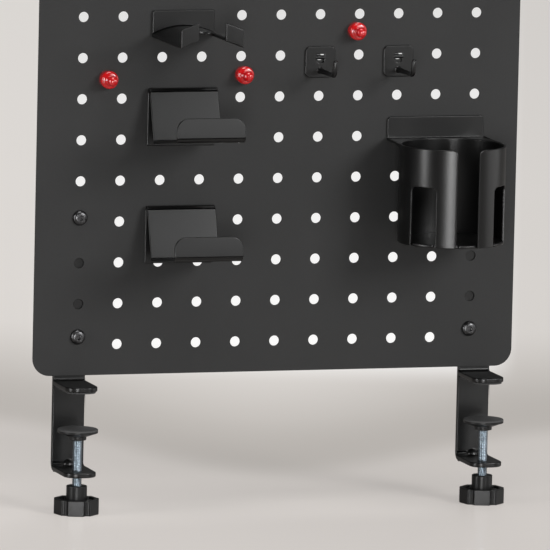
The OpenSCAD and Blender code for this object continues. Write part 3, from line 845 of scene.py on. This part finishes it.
class PEGBOARD_OT_pins(PegboardOperator, Operator):
    """Turns the magnetic pins and their magnets"""

    bl_idname = "pegboard.pins"
    bl_label = "Magnetic pins"

    def build(self, settings):
        for name in PINS:
            self.pin(name + "_pin")
            self.magnet(name + "_pin_magnet")

    def pin(self, node):
        """A round-shouldered base with a ball on a waist, hollow below for the magnet."""
        low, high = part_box(node)
        base_r = (high.x - low.x) / 2
        head_r, waist_r, shoulder = 3.3 * MM, 2.3 * MM, 6.2 * MM
        hole_r, hole_h = 4.05 * MM, 3.0 * MM
        head_z = high.y - low.y - head_r
        bm = lathe([
            (0.0, hole_h),
            (hole_r, hole_h),
            (hole_r, 0.0),
            (base_r, 0.0),
            (base_r, shoulder),
            (waist_r, shoulder),
            (waist_r, head_z),
            (0.0, head_z),
        ])
        for radius, height, rounding, segments in (
            (base_r, shoulder, 2.0 * MM, 6),
            (base_r, 0.0, 0.3 * MM, 2),
            (waist_r, shoulder, 0.8 * MM, 4),
        ):
            round_edges(bm, ring(bm, radius, height), rounding, segments)
        head = bmesh.new()
        bmesh.ops.create_uvsphere(head, u_segments=48, v_segments=24, radius=head_r)
        join(bm, place(head, Matrix.Translation((0, 0, head_z))))
        show(node, place(bm, forward_at(node)), "red_plastic")

    def magnet(self, node):
        low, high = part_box(node)
        radius, thick = (high.x - low.x) / 2, high.y - low.y
        bm = lathe([(0.0, 0.0), (radius, 0.0), (radius, thick), (0.0, thick)])
        for height in (0.0, thick):
            round_edges(bm, ring(bm, radius, height), 0.2 * MM, 2)
        show(node, place(bm, forward_at(node)), "magnet")


class FloorFinish(Finish):
    """A smooth pale surface with soft tones, a painted shadow band behind the clamps and a painted
    light patch, brightest where the panel's holes show it.
    """

    TURN = math.radians(-17.5)  # the tones follow each other along this line of sight
    START, SPAN = -1.5, 4.5  # the stretch of that line which has tones, in metres

    def __init__(self, stage):
        super().__init__("floor")
        turned = self.nodes.new("ShaderNodeMapping")
        turned.vector_type = "TEXTURE"
        turned.inputs["Rotation"].default_value = (0.0, 0.0, self.TURN)
        self.links.new(self.coords, turned.inputs["Vector"])
        away = self.nodes.new("ShaderNodeSeparateXYZ")
        self.links.new(turned.outputs["Vector"], away.inputs["Vector"])
        across, back = away.outputs["X"], away.outputs["Y"]
        aside = self.result("ABSOLUTE", across)
        mixed = self.nodes.new("ShaderNodeMix")
        mixed.data_type = "RGBA"
        # painted light: the bright patch colour is mixed into the floor's base and emission colour
        mixed.inputs["B"].default_value = (*stage.painted_light_colour, 1)
        self.links.new(self.painted_light_share(stage, aside, back), mixed.inputs["Factor"])
        self.links.new(self.tones(stage, across, aside, back), mixed.inputs["A"])
        self.feed(mixed.outputs["Result"], "Base Color")
        self.feed(mixed.outputs["Result"], "Emission Color")
        path = self.nodes.new("ShaderNodeLightPath")
        seen = self.result("MULTIPLY", path.outputs["Is Camera Ray"], stage.glow)
        self.feed(seen, "Emission Strength")
        self.shader.inputs["Roughness"].default_value = 0.2
        self.shader.inputs["Specular IOR Level"].default_value = 0.35
        self.bump(self.noise(260.0), 0.00004)

    def result(self, operation, *terms):
        """The result of an operation on sockets and numbers."""
        node = self.nodes.new("ShaderNodeMath")
        node.operation = operation
        for term, socket in zip(terms, node.inputs):
            if isinstance(term, float):
                socket.default_value = term
            else:
                self.links.new(term, socket)
        return node.outputs["Value"]

    def eased(self, value, start, end):
        """A share that runs smoothly from 0 at the start to 1 at the end."""
        node = self.nodes.new("ShaderNodeMapRange")
        node.interpolation_type = "SMOOTHSTEP"
        node.inputs["From Min"].default_value = start
        node.inputs["From Max"].default_value = end
        self.links.new(value, node.inputs["Value"])
        return node.outputs["Result"]

    def tones(self, stage, across, aside, back):
        """Bands of colour, among them a painted shadow band behind the clamps, set back at the
        sides and a little darker towards the right.
        """
        bend = self.eased(aside, 0.0, 0.2)
        bent = self.result("MULTIPLY_ADD", bend, -0.2, back)
        position = self.result("MULTIPLY_ADD", bent, 1 / self.SPAN, -self.START / self.SPAN)
        bands = self.nodes.new("ShaderNodeValToRGB")
        bands.color_ramp.interpolation = "B_SPLINE"
        elements = bands.color_ramp.elements
        stops = (
            (-1.5, stage.front_colour),
            (-0.9, stage.front_colour),
            (-0.45, stage.near_colour),
            (0.09, stage.near_colour),
            # painted shadow: the darker band where the board's shadow would fall
            (0.165, stage.painted_shadow_colour),
            (0.345, stage.mid_colour),
            (0.585, stage.far_colour),
            (1.35, stage.far_colour),
            (3.0, stage.end_colour),
        )
        for index, (metres, shade) in enumerate(stops):
            at = (metres - self.START) / self.SPAN
            if index == len(elements):
                elements.new(at)
            elements[index].position = at
            elements[index].color = (*shade, 1)
        self.links.new(position, bands.inputs["Fac"])
        side = self.eased(across, -0.3, 0.3)
        shaded = self.nodes.new("ShaderNodeVectorMath")
        shaded.operation = "SCALE"
        self.links.new(bands.outputs["Color"], shaded.inputs["Vector"])
        self.links.new(self.result("MULTIPLY_ADD", side, -0.1, 1.04), shaded.inputs["Scale"])
        return shaded.outputs["Vector"]

    def painted_light_share(self, stage, aside, back):
        """How far a place belongs to the painted light patch: the wedge behind the board that its
        holes show.
        """
        reach = self.result("ADD", back, stage.eye_distance)
        slope = self.result("DIVIDE", aside, reach)
        inside = self.eased(slope, 0.0258, 0.0212)
        begun = self.eased(back, 0.5, 0.7)
        ended = self.eased(back, 4.2, 3.1)
        return self.result("MULTIPLY", self.result("MULTIPLY", inside, begun), ended)


class PEGBOARD_OT_stage(PegboardOperator, Operator):
    """Lays the floor and sets up the lights, the world and the camera"""

    bl_idname = "pegboard.stage"
    bl_label = "Stage"

    MIDDLE = Vector((0, 0, 0.15))

    def build(self, settings):
        stage = settings.stage
        self.floor(stage)
        self.world(stage.ambient)
        self.lamp("Key light", (1.5, -2.15, 1.2), 0.9, 0.9, stage.key)
        self.lamp("Side key light", (0.95, -2.35, 0.55), 0.7, 0.7, stage.side_key)
        self.lamp("Front light", (-0.75, -2.38, 0.16), 0.6, 0.46, stage.front)
        self.lamp("Left light", (-1.45, -0.3, 0.35), 0.26, 0.84, stage.left)
        self.lamp("Right light", (1.6, -0.25, 0.35), 1.1, 0.84, stage.right)
        self.lamp("Top light", (-0.1, -0.6, 2.4), 1.2, 1.2, stage.top)
        self.lamp("Back light", (0.9, 1.7, 2.3), 1.0, 1.0, stage.back)
        self.camera(settings.view)
        bpy.context.scene.view_settings.view_transform = "Standard"

    def floor(self, stage):
        """A wide round floor just below the knobs."""
        gap = 0.05 * MM
        bm = bmesh.new()
        bmesh.ops.create_circle(bm, segments=96, radius=stage.floor_radius, cap_ends=True)
        place(bm, Matrix.Translation((0, 0, CAD_BOX[0].z - gap)))
        mesh = bpy.data.meshes.new("floor")
        bm.to_mesh(mesh)
        bm.free()
        floor = object_of("floor", mesh)
        floor.data.materials.append(FloorFinish(stage).material)

    def world(self, strength):
        world = bpy.data.worlds.new("Studio")
        world.use_nodes = True
        ground = world.node_tree.nodes["Background"]
        ground.inputs["Color"].default_value = (1.0, 0.99, 0.98, 1)
        ground.inputs["Strength"].default_value = strength
        bpy.context.scene.world = world

    def lamp(self, name, at, wide, high, power):
        """A rectangular soft light, sizes in metres, that faces the middle of the board."""
        data = bpy.data.lights.new(name, "AREA")
        data.shape = "RECTANGLE"
        data.size, data.size_y, data.energy = wide, high, power
        light = object_of(name, data)
        light.location = at
        towards = self.MIDDLE - light.location
        light.rotation_mode = "QUATERNION"
        light.rotation_quaternion = towards.to_track_quat("-Z", "Y")
        light.visible_camera = False

    def camera(self, view):
        """A camera on a sphere round the point it looks at, rolled about its own axis."""
        data = bpy.data.cameras.new("Camera")
        camera = object_of("Camera", data)
        level = math.cos(view.elevation)
        back = Vector((
            math.sin(view.azimuth) * level,
            -math.cos(view.azimuth) * level,
            math.sin(view.elevation),
        ))
        camera.location = Vector(view.aim) + back * view.distance
        camera.rotation_mode = "QUATERNION"
        aimed = (-back).to_track_quat("-Z", "Y").to_matrix().to_4x4()
        rolled = aimed @ Matrix.Rotation(view.roll, 4, "Z")
        camera.rotation_quaternion = rolled.to_quaternion()
        data.sensor_width = 36.0
        data.lens = data.sensor_width * view.distance / view.field
        data.clip_start, data.clip_end = 0.05, 100.0
        bpy.context.scene.camera = camera


PIECES = (
    PEGBOARD_OT_stage,
    PEGBOARD_OT_panel,
    PEGBOARD_OT_clamp_frames,
    PEGBOARD_OT_panel_bolts,
    PEGBOARD_OT_panel_nuts,
    PEGBOARD_OT_clamp_screws,
    PEGBOARD_OT_pressure_plates,
    PEGBOARD_OT_knobs,
    PEGBOARD_OT_headphone_holder,
    PEGBOARD_OT_shelves,
    PEGBOARD_OT_hooks,
    PEGBOARD_OT_cup_holder,
    PEGBOARD_OT_tongues,
    PEGBOARD_OT_pins,
)


class PEGBOARD_PT_sidebar(Panel):
    """Lists the pieces of the pegboard and their sizes and colours"""

    bl_label = "Desk pegboard"
    bl_idname = "PEGBOARD_PT_sidebar"
    bl_space_type = "VIEW_3D"
    bl_region_type = "UI"
    bl_category = "Pegboard"

    def draw(self, context):
        layout = self.layout
        settings = context.scene.pegboard
        for title in ("edges", "threads", "finishes", "stage", "view"):
            group = getattr(settings, title)
            box = layout.box()
            box.label(text=title.capitalize())
            for name in group.bl_rna.properties.keys():
                if name not in ("rna_type", "name"):
                    box.prop(group, name)
        for piece in PIECES:
            layout.operator(piece.bl_idname)


CLASSES = (
    EdgeSizes,
    ThreadSizes,
    Finishes,
    StageSettings,
    ViewSettings,
    PegboardSettings,
    *PIECES,
    PEGBOARD_PT_sidebar,
)


def register():
    for cls in CLASSES:
        bpy.utils.register_class(cls)
    bpy.types.Scene.pegboard = PointerProperty(type=PegboardSettings)


def unregister():
    del bpy.types.Scene.pegboard
    for cls in reversed(CLASSES):
        bpy.utils.unregister_class(cls)


def main():
    register()
    for piece in PIECES:
        group, name = piece.bl_idname.split(".")
        getattr(getattr(bpy.ops, group), name)()


if __name__ == "__main__":
    main()
